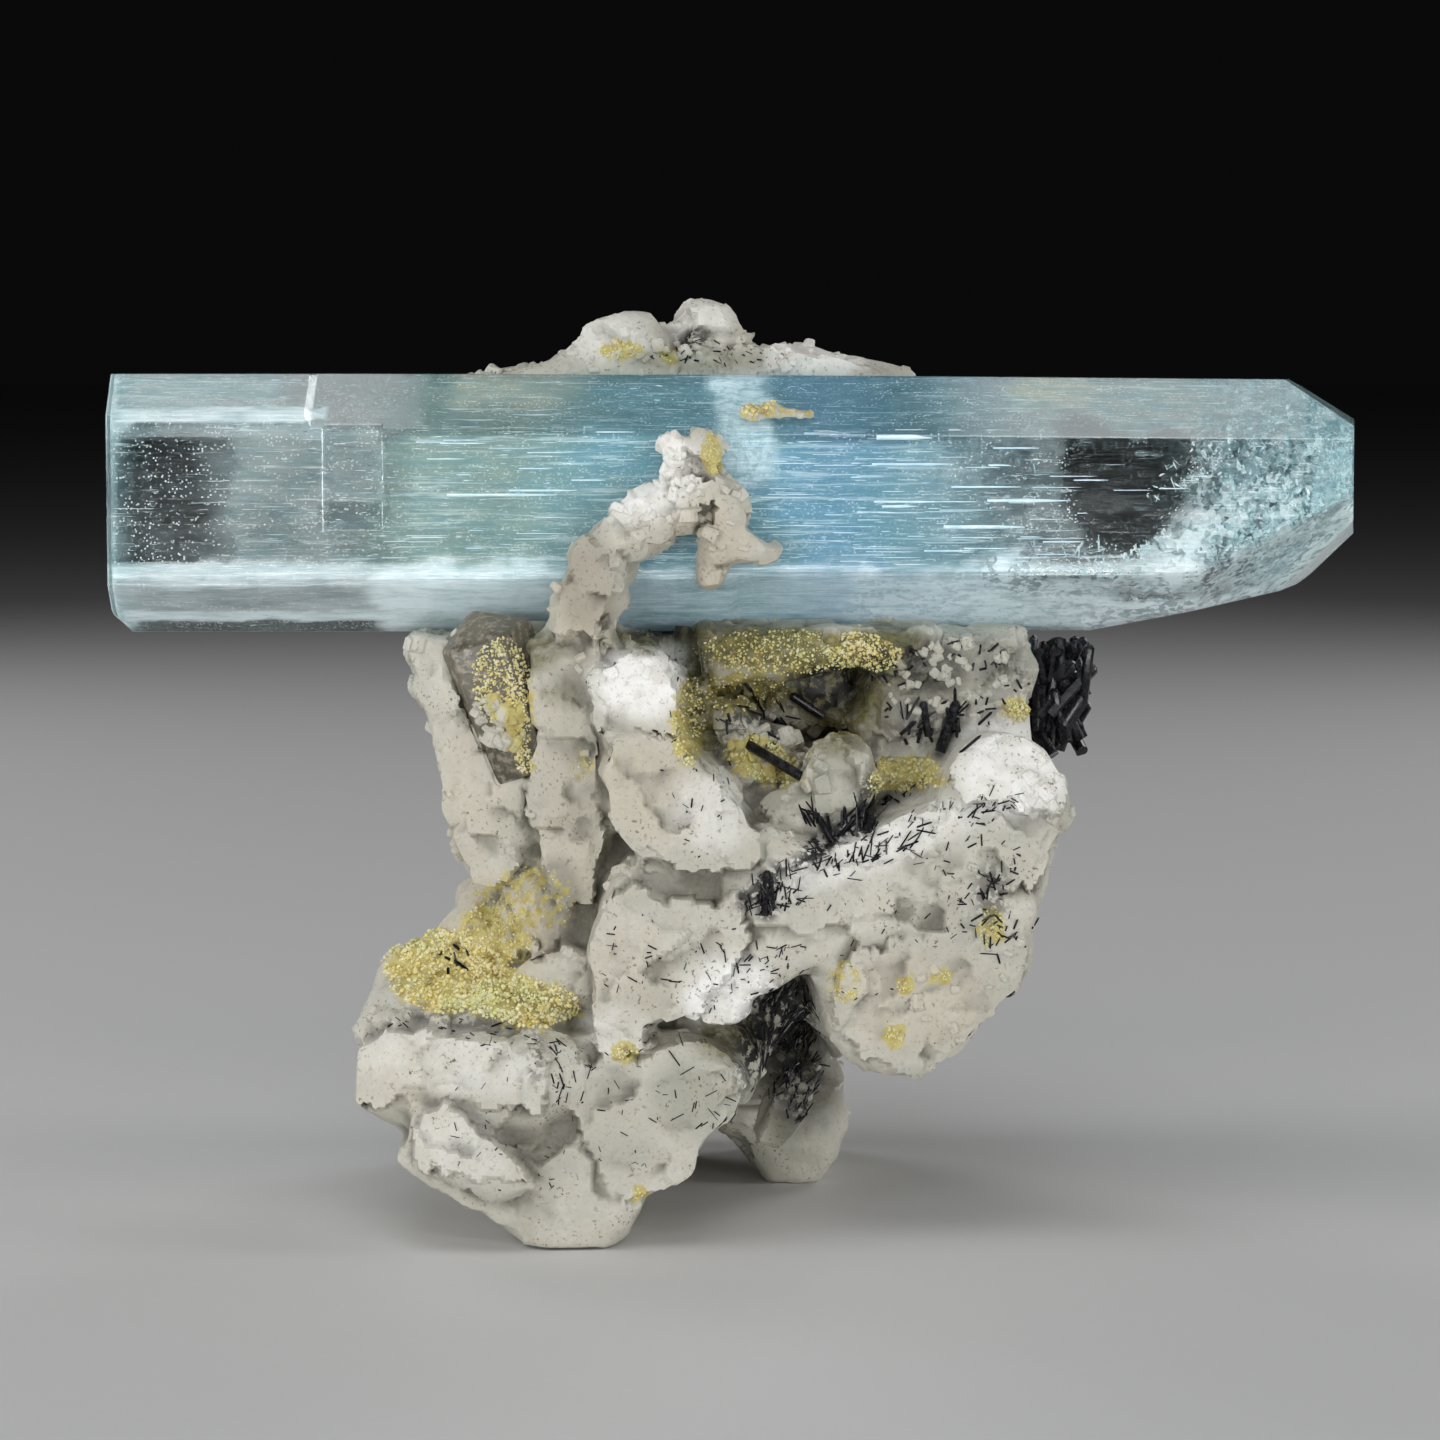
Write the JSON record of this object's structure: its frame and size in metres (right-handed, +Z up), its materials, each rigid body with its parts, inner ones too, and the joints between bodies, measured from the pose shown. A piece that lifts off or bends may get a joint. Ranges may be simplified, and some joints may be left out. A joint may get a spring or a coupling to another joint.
{
  "type": "aquamarine crystal specimen",
  "caption": "Clear blue six-sided aquamarine prism lying across a lumpy, bladed white albite matrix, with smoky quartz and black schorl.",
  "frame": {"origin": "centre of the specimen's box in X and Y, on the surface that it rests on", "axes": "+X along the aquamarine towards its bevelled end, +Y to the back of the specimen, +Z up"},
  "size_m": [0.1128, 0.0542, 0.0827],
  "materials": {
    "aquamarine": "clear pale blue beryl, glassy natural prism faces",
    "albite": "sugary off-white feldspar, part pearly",
    "albite_crust": "yellow-white grainy crust",
    "smoky_quartz": "translucent grey-brown quartz, satin",
    "schorl": "glossy black striated tourmaline"
  },
  "bodies": {
    "root": {"aquamarine_crystal": "aquamarine", "albite_matrix": "albite", "albite_patch": "albite_crust", "smoky_quartz_crystal": "smoky_quartz", "schorl_cluster": "schorl", "schorl_prism_1": "schorl", "schorl_prism_2": "schorl", "schorl_prism_3": "schorl", "schorl_prism_4": "schorl", "schorl_prism_5": "schorl", "schorl_prism_6": "schorl", "schorl_prism_7": "schorl"}
  },
  "joints": []
}
